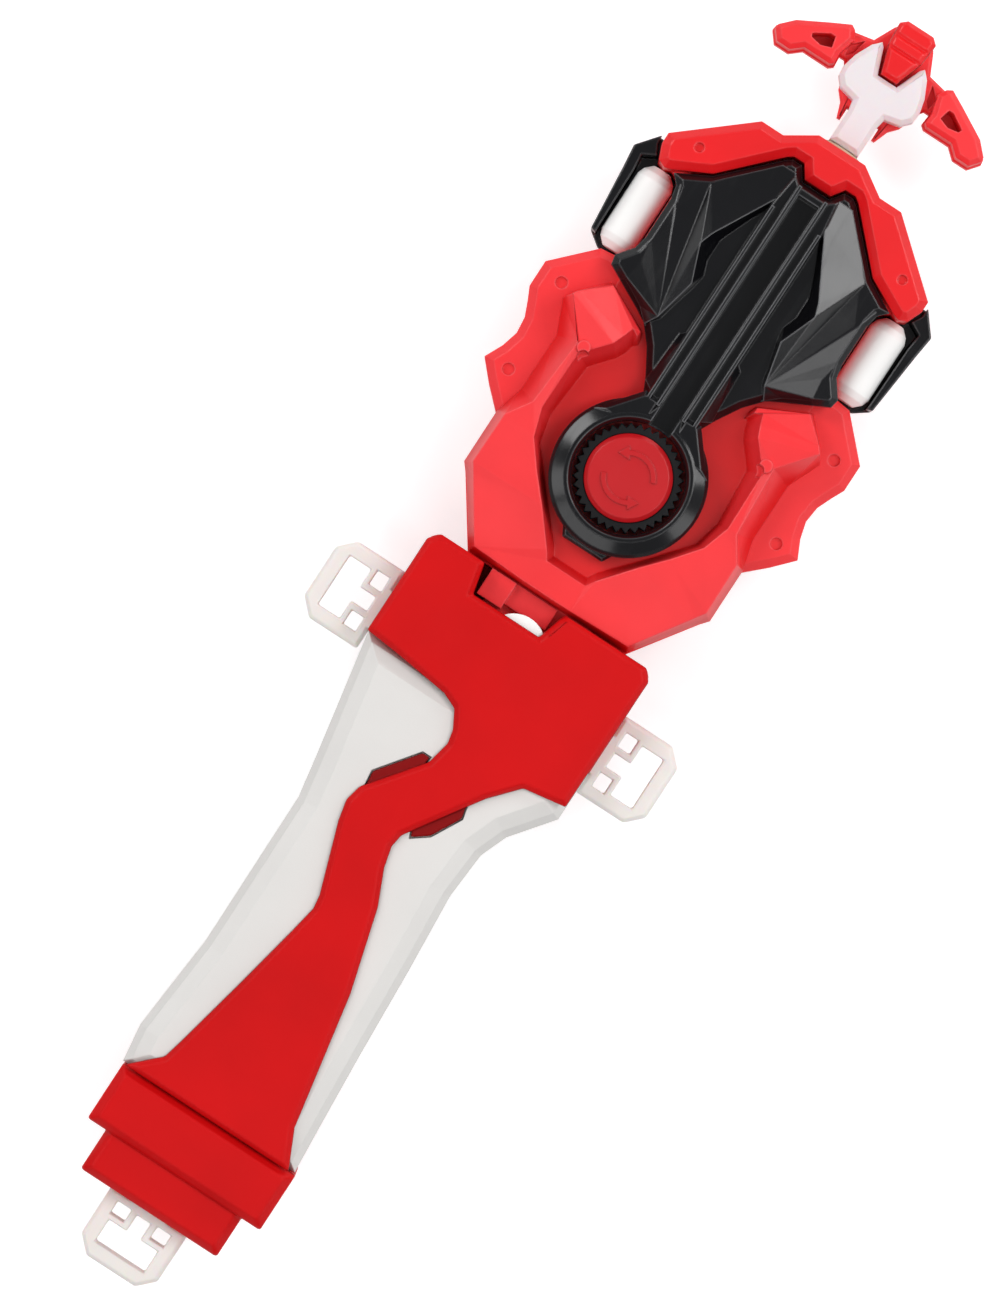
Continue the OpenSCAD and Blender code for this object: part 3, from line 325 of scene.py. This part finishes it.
# %% [markdown]
# ## Moulded plastic
# The mould leaves a fine grain on a moulding, and handling leaves patches that are a little
# duller. Each finish here is the same recipe with other amounts: clouds in the colour, patches
# and fine scratches in the roughness, and grain as a bump. A painted image could do this too,
# but a procedural recipe fits every part at any size. The edges of a moulding have small radii,
# which the recipe gets from a Bevel node: it bends the shading near an edge as if it were round.

# %% Recipe for moulded plastic
patch_scale = 0.12
patch_detail = 4
scratch_scale = 0.6
scratch_stretch = (1, 0.06, 1)
scratch_range = (0.58, 0.66)
grain_strength = 0.5
edge_samples = 6


def plastic(
    name, colour, rough, clouds=0.06, grain=3.0, depth=0.012, wear=0.035, edge=0.3,
    rim=None, reach=0.3, depths=None, **sockets,
):
    """Moulded plastic: cloudy colour, patchy gloss with scratches, fine grain and soft edges."""
    mat = bpy.data.materials.new(name)
    mat.use_nodes = True
    tree = mat.node_tree
    shader = tree.nodes["Principled BSDF"]
    coords = tree.nodes.new("ShaderNodeTexCoord").outputs["Object"]

    body = clouded(tree, coords, colour, clouds)
    # Painted highlight: the outward edges get a lighter colour.
    if rim:
        body = painted_edge_highlight(tree, body, rim, reach)
    # Painted shade: the colour darkens in the hollows by depth.
    if depths:
        body = painted_hollow_shade(tree, coords, body, *depths)
    tree.links.new(body, shader.inputs["Base Color"])

    dull = noise(tree, coords, patch_scale, patch_detail)
    streaks = noise(tree, coords, scratch_scale, stretch=scratch_stretch)
    patches = spread(tree, dull, rough - wear / 2, rough + wear)
    scratches = spread(tree, streaks, 0, wear, *scratch_range)
    tree.links.new(worked(tree, "ADD", patches, scratches), shader.inputs["Roughness"])

    bump = tree.nodes.new("ShaderNodeBump")
    bump.inputs["Strength"].default_value = grain_strength
    bump.inputs["Distance"].default_value = depth * MM
    tree.links.new(noise(tree, coords, grain), bump.inputs["Height"])
    edges = tree.nodes.new("ShaderNodeBevel")
    edges.samples = edge_samples
    edges.inputs["Radius"].default_value = edge * MM
    tree.links.new(edges.outputs["Normal"], bump.inputs["Normal"])
    tree.links.new(bump.outputs["Normal"], shader.inputs["Normal"])

    for socket, value in sockets.items():
        shader.inputs[socket.replace("_", " ")].default_value = value
    return mat


print("dull patches about", round(1 / patch_scale, 1), "mm wide")

# %% [markdown]
# ## Braided string
# The string is a tight braid of white thread. Its braid is two sets of diagonal waves that
# cross, which gives the small lozenges of the real cord.

# %% Braid of the string
thread_turn = math.radians(35)
thread_scale = 0.45
thread_depth = 0.08
crossed_range = (0.2, 1.6)
thread_shade = (0.55, 0.52, 0.48, 1)
thread_light = (0.86, 0.84, 0.8, 1)
thread_rough = 0.75


def braid():
    """White braided cord: crossed diagonal waves as bump and shade."""
    mat = bpy.data.materials.new("braid")
    mat.use_nodes = True
    tree = mat.node_tree
    shader = tree.nodes["Principled BSDF"]
    coords = tree.nodes.new("ShaderNodeTexCoord").outputs["Object"]
    waves = []
    for turn in (thread_turn, -thread_turn):
        mapping = tree.nodes.new("ShaderNodeMapping")
        mapping.inputs["Rotation"].default_value = (0, 0, turn)
        wave = tree.nodes.new("ShaderNodeTexWave")
        wave.bands_direction = "Y"
        wave.inputs["Scale"].default_value = thread_scale / MM
        tree.links.new(coords, mapping.inputs["Vector"])
        tree.links.new(mapping.outputs["Vector"], wave.inputs["Vector"])
        waves.append(wave.outputs["Fac"])
    crossed = worked(tree, "ADD", *waves)
    ramp = tree.nodes.new("ShaderNodeValToRGB")
    ramp.color_ramp.elements[0].color = thread_shade
    ramp.color_ramp.elements[1].color = thread_light
    bump = tree.nodes.new("ShaderNodeBump")
    bump.inputs["Distance"].default_value = thread_depth * MM
    tree.links.new(spread(tree, crossed, 0, 1, *crossed_range), ramp.inputs["Fac"])
    tree.links.new(ramp.outputs["Color"], shader.inputs["Base Color"])
    tree.links.new(crossed, bump.inputs["Height"])
    tree.links.new(bump.outputs["Normal"], shader.inputs["Normal"])
    shader.inputs["Roughness"].default_value = thread_rough
    return mat


print("threads cross at", round(math.degrees(2 * thread_turn)), "degrees")

# %% [markdown]
# ## The launcher's finishes
# Each line is one finish: its colour, its roughness and what else differs from the plain recipe.
# Thin milky plastic lets light in and scatters it, which the strap loops and the handle's fork
# get from a little transmission and subsurface scatter. The springs, pins and screws are bright
# drawn steel, which is the same recipe turned into a metal. The limits of the painted shade in
# the hollows are measured on the solids, so they follow the model.

# %% Where the painted shade in the hollows lies
cover_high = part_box("front_cover")[1].z
back_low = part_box("back_cover")[0].z
grip_middle = (cover_high + back_low) / 2
lug_drop = 0.75 * MM
lug_fade = 0.4 * MM
lug_top = cover_high - grip_middle - lug_drop
# Painted shade: below their top the lugs' colour is multiplied by this.
lug_shade_colour = (0.38, 0.38, 0.38)
cover_hollow_shade = (grip_middle, lug_top - lug_fade, lug_top, lug_shade_colour)

deck_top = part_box("selector_wheel")[0].z
bowl_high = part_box("top_shell")[1].z
bowl_share = 0.4
# Painted shade: the bowl round the dial gets darker and redder by this.
bowl_shade_colour = (0.86, 0.3, 0.3)
bowl_hollow_shade = (0, deck_top, deck_top + bowl_share * (bowl_high - deck_top), bowl_shade_colour)
print("lugs are tinted below", round(lug_top / MM, 2), "mm from the grip's middle")

# %% Table of finishes
shell_red = (0.9, 0.031, 0.037)
grip_red = (0.6, 0.002, 0.003)
black = (0.004, 0.004, 0.005)
# Looks with an edge colour paint a highlight on the outward edges.
shell_look = {"grain": 2.2, "edge": 0.5, "rim": (1, 0.1, 0.11), "Specular_IOR_Level": 0.4}
grip_look = {"grain": 4.0, "depth": 0.02, "edge": 0.7, "Specular_IOR_Level": 0.15}
recipes = {
    "bright_red": (shell_red, 0.36, shell_look),
    # The shell red again, with painted shade in the bowl round the dial.
    "bowl_red_painted_shade": (shell_red, 0.36, {**shell_look, "depths": bowl_hollow_shade}),
    # The cowl's lighter edge colour is a painted highlight.
    "cowl_red": ((0.8, 0.006, 0.009), 0.3, {
        "grain": 2.0, "wear": 0.008, "edge": 0.5, "rim": (0.95, 0.06, 0.065),
    }),
    "grip_red": (grip_red, 0.42, grip_look),
    # The grip red again, with painted shade on the lugs under the cover's edge.
    "cover_red_painted_shade": (grip_red, 0.42, {**grip_look, "depths": cover_hollow_shade}),
    "dial_red": ((0.52, 0.007, 0.011), 0.32, {"grain": 2.5, "Specular_IOR_Level": 0.4}),
    # The light grey edge colour of the black is a painted highlight.
    "gloss_black": (black, 0.16, {
        "clouds": 0.2, "grain": 1.2, "depth": 0.008, "edge": 0.4, "rim": (0.11, 0.11, 0.115),
        "reach": 0.35,
    }),
    "dull_black": (black, 0.42, {"clouds": 0.2, "Specular_IOR_Level": 0.25}),
    "grip_white": ((0.72, 0.7, 0.675), 0.45, {"clouds": 0.02, "grain": 5.0, "depth": 0.03}),
    "pad_white": ((0.95, 0.94, 0.92), 0.5, {"clouds": 0.02}),
    "milky": ((0.94, 0.88, 0.84), 0.3, {
        "clouds": 0.03, "wear": 0.015,
        "Transmission_Weight": 0.12, "Subsurface_Weight": 0.3, "Subsurface_Scale": 0.004,
    }),
    "frosted_clear": ((0.97, 0.88, 0.9), 0.3, {
        "clouds": 0.02, "wear": 0.01, "IOR": 1.49,
        "Transmission_Weight": 0.15, "Subsurface_Weight": 0.3, "Subsurface_Scale": 0.003,
    }),
    "gear_white": ((0.8, 0.79, 0.76), 0.38, {"clouds": 0.02}),
    "tan": ((0.6, 0.45, 0.3), 0.5, {"clouds": 0.1}),
    "steel": ((0.6, 0.6, 0.62), 0.26, {
        "clouds": 0.08, "grain": 1.5, "depth": 0.006, "Metallic": 1.0,
    }),
}
finishes = {
    name: plastic(name, colour, rough, **look) for name, (colour, rough, look) in recipes.items()
}
finishes["braid"] = braid()
print(len(finishes), "finishes")

# %% [markdown]
# ## Finishes on the solids
# Each solid of the CAD model takes one finish. The finish already rounds the edges in the
# shading, which is enough for the shells: they have very short edges where faces meet, and a
# bevel modifier would either cross over itself there or shrink to nothing. Simple pieces, such
# as the strap loops, covers and frames, also get a real radius: a weld joins the triangles'
# corners, and a bevel modifier rounds what is left. That changes their outline as well.

# %% Finish each solid
finish_of = {
    "bright_red": ["base_shell", "handle_wings"],
    "bowl_red_painted_shade": ["top_shell"],
    "cowl_red": ["front_cowl", "handle_wedge"],
    "grip_red": ["head_block", "tail_cap"],
    "cover_red_painted_shade": ["front_cover", "back_cover"],
    "dial_red": ["selector_cap"],
    "gloss_black": ["face_plate", "side_frame_right", "side_frame_left"],
    "dull_black": ["selector_wheel", "shift_cam", "spool", "hub"],
    "grip_white": ["grip_front_shell", "grip_back_shell"],
    "pad_white": ["side_pad_right", "side_pad_left", "lock_button"],
    "gear_white": ["idler_gear", "hub_bush"],
    "milky": ["strap_loop_right", "strap_loop_left", "strap_loop_tail"],
    "frosted_clear": ["handle_fork"],
    "tan": ["string_eyelet"],
    "braid": ["string_winding", "string_lead", "string_pull", "string_knot"],
    "steel": [
        "detent_spring", "spool_post", "idler_pin", "clock_spring", "centre_pin",
        "centre_spring", "lock_spring", "body_screws", "grip_screws",
    ],
}
for finish, names in finish_of.items():
    for name in names:
        materials = nodes[name].data.materials
        materials.clear()
        materials.append(finishes[finish])
print("dressed", sum(map(len, finish_of.values())), "of", len(nodes), "nodes")

# %% Round the edges of the simple pieces
weld_reach = 0.01
edge_segments = 2
edge_angle = math.radians(24)
edge_radius = {
    "front_cover": 0.3, "back_cover": 0.3, "head_block": 0.25, "tail_cap": 0.5,
    "strap_loop_right": 0.35, "strap_loop_left": 0.35, "strap_loop_tail": 0.35,
    "side_frame_right": 0.25, "side_frame_left": 0.25, "string_eyelet": 0.15,
    "selector_wheel": 0.12, "handle_wedge": 0.15, "lock_button": 0.15,
}


def soften(obj, radius):
    """Rounds an object's sharp edges by a radius in millimetres."""
    weld = obj.modifiers.new("weld", "WELD")
    weld.merge_threshold = weld_reach * MM
    bevel = obj.modifiers.new("bevel", "BEVEL")
    bevel.width = radius * MM
    bevel.segments = edge_segments
    bevel.limit_method = "ANGLE"
    bevel.angle_limit = edge_angle
    bevel.use_clamp_overlap = False
    bevel.harden_normals = True


for name, radius in edge_radius.items():
    soften(nodes[name], radius)
print("rounded", len(edge_radius), "pieces")

# %% [markdown]
# ## The string
# The string runs from the eyelet in the nose to the knot in the handle. On the real launcher
# the handle draws it out by almost half a metre. Here it is a braided tube of many short
# rings along the string's part, at its length at rest.

# %% String from the eyelet to the handle
string_radius = 0.6 * MM
string_rings = 40
ring_points = 16
strands = 4
strand_share = 0.035
string_low, string_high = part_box("string_pull")
axis_z = (string_low.z + string_high.z) / 2


def tube_faces(steps, sides):
    """Faces of an open tube from the number of its steps and the points of each ring."""
    faces = []
    for i in range(steps):
        for k in range(sides):
            a, b = i * sides + k, i * sides + (k + 1) % sides
            faces.append((a, b, b + sides, a + sides))
    return faces


def string_tube():
    """Tube along Y with a faint twist of strands."""
    verts = []
    for i in range(string_rings + 1):
        y = string_low.y + (string_high.y - string_low.y) * i / string_rings
        for k in range(ring_points):
            angle = math.tau * k / ring_points
            radius = string_radius * (1 + strand_share * math.cos(strands * angle + i))
            verts.append((radius * math.cos(angle), y, axis_z + radius * math.sin(angle)))
    return mesh_object("drawn_string", verts, tube_faces(string_rings, ring_points))


string = string_tube()
string.data.materials.append(finishes["braid"])
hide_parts("string_pull")
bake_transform(string)
print("string at rest:", round((string_high.y - string_low.y) / MM, 1), "mm")

# %% [markdown]
# ## Springs
# Two coil springs give way in use: one under the hub's centre pin, one under the lock button.
# Each spring is wound here again as one tube along a helix, with its end turns close together
# as on a ground compression spring. It rides on the side that stays.

# %% Winding a compression spring
wire_radius = 0.25 * MM
wire_sides = 10
coil_turns = 5
steps_a_turn = 32
end_turn = 0.75
end_pitch = 2.3 * wire_radius


def coil_height(turn, length):
    """Height of the wire's centre after so many turns: close end turns, an even pitch between."""
    open_turns = coil_turns - 2 * end_turn
    open_pitch = (length - 2 * wire_radius - 2 * end_turn * end_pitch) / open_turns
    low_part = min(turn, end_turn) * end_pitch
    mid_part = min(max(turn - end_turn, 0), open_turns) * open_pitch
    high_part = max(turn - end_turn - open_turns, 0) * end_pitch
    return wire_radius + low_part + mid_part + high_part


def coil_spring(name, node):
    """Winds a spring in the box of the CAD spring that it stands for."""
    low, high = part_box(node)
    centre = (low + high) / 2
    radius = (high.x - low.x) / 2 - wire_radius
    count = coil_turns * steps_a_turn
    verts = []
    for i in range(count + 1):
        turn = i / steps_a_turn
        angle = math.tau * turn
        out = Vector((math.cos(angle), math.sin(angle), 0))
        height = low.z + coil_height(turn, high.z - low.z)
        middle = Vector((centre.x, centre.y, height)) + radius * out
        for k in range(wire_sides):
            side = math.tau * k / wire_sides
            upward = Vector((0, 0, math.sin(side)))
            verts.append(middle + wire_radius * (math.cos(side) * out + upward))
    faces = tube_faces(count, wire_sides)
    faces.append(tuple(reversed(range(wire_sides))))
    faces.append(tuple(range(count * wire_sides, (count + 1) * wire_sides)))
    spring = mesh_object(name, verts, faces)
    spring.data.shade_smooth()
    spring.data.materials.append(finishes["steel"])
    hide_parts(node)
    return spring, low, high


print("a spring has", coil_turns, "turns of wire", 2 * wire_radius / MM, "mm thick")


for name, node, body, joint, fixed_top in (
    ("pin_return_spring", "centre_spring", "hub", "pin_press", True),
    ("button_return_spring", "lock_spring", "housing", "lock_press", False),
):
    spring, low, high = coil_spring(name, node)
    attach(spring, body)
    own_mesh(spring)

# %% [markdown]
# ## Sizes
# The dressed model should stay inside the CAD model's box, because the solids are what others
# build against. Both boxes are printed.

# %% Sizes and finish
low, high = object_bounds()
print("visual box in mm:", [round((b - a) / MM, 1) for a, b in zip(low, high)])
